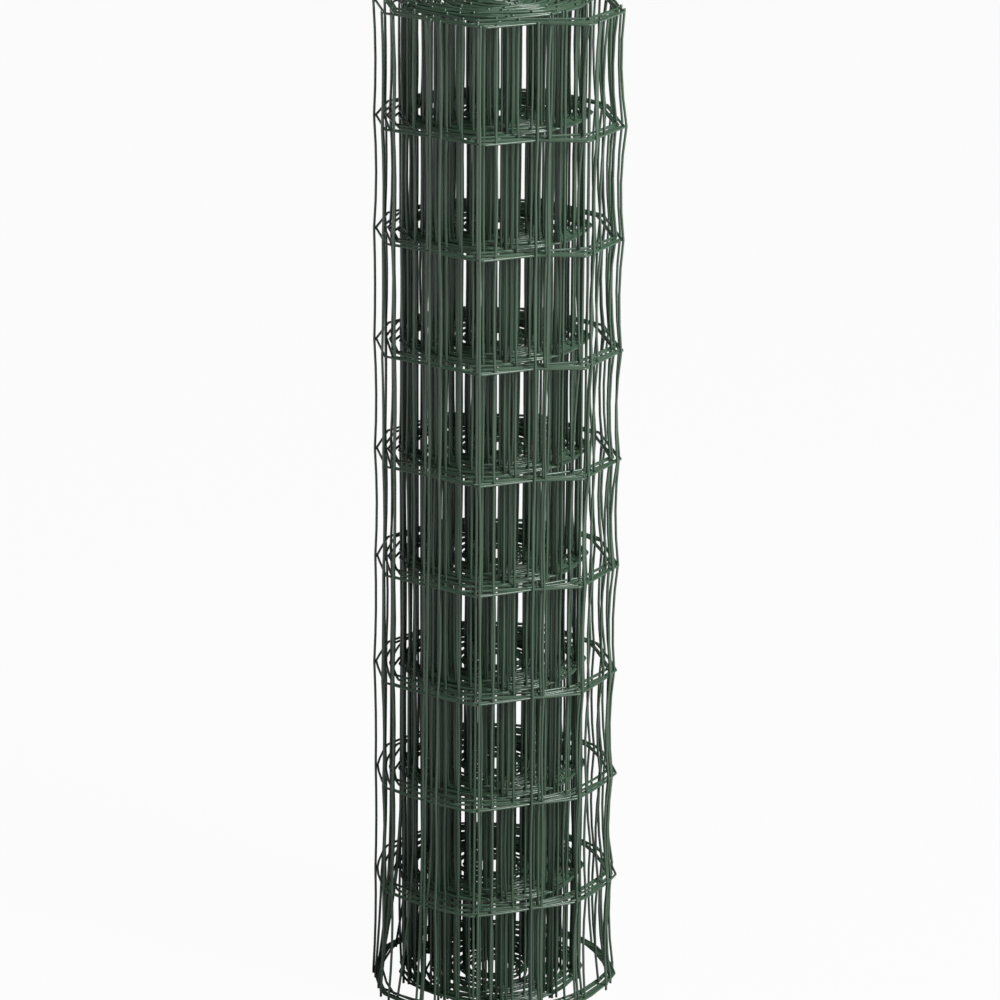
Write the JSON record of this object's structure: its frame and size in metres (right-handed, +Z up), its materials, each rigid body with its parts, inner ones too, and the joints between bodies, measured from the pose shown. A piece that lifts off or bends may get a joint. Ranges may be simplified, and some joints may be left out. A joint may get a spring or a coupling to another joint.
{
  "type": "roll of wire fencing",
  "caption": "Upright roll of green plastic-coated welded wire mesh fencing, wound on itself round an open bore, with line wires as rings and stays as uprights.",
  "frame": {"origin": "centre of the bore in the plane of the lower end, on which the roll stands", "axes": "+Z up the roll along its bore, -Y towards the viewer of the picture, +X to the viewer's right"},
  "size_m": [0.2174, 0.2203, 0.908],
  "materials": {
    "coated_wire": "satin dark green plastic coating on steel wire"
  },
  "bodies": {
    "root": {"wire_mesh_roll": "coated_wire"}
  },
  "joints": []
}
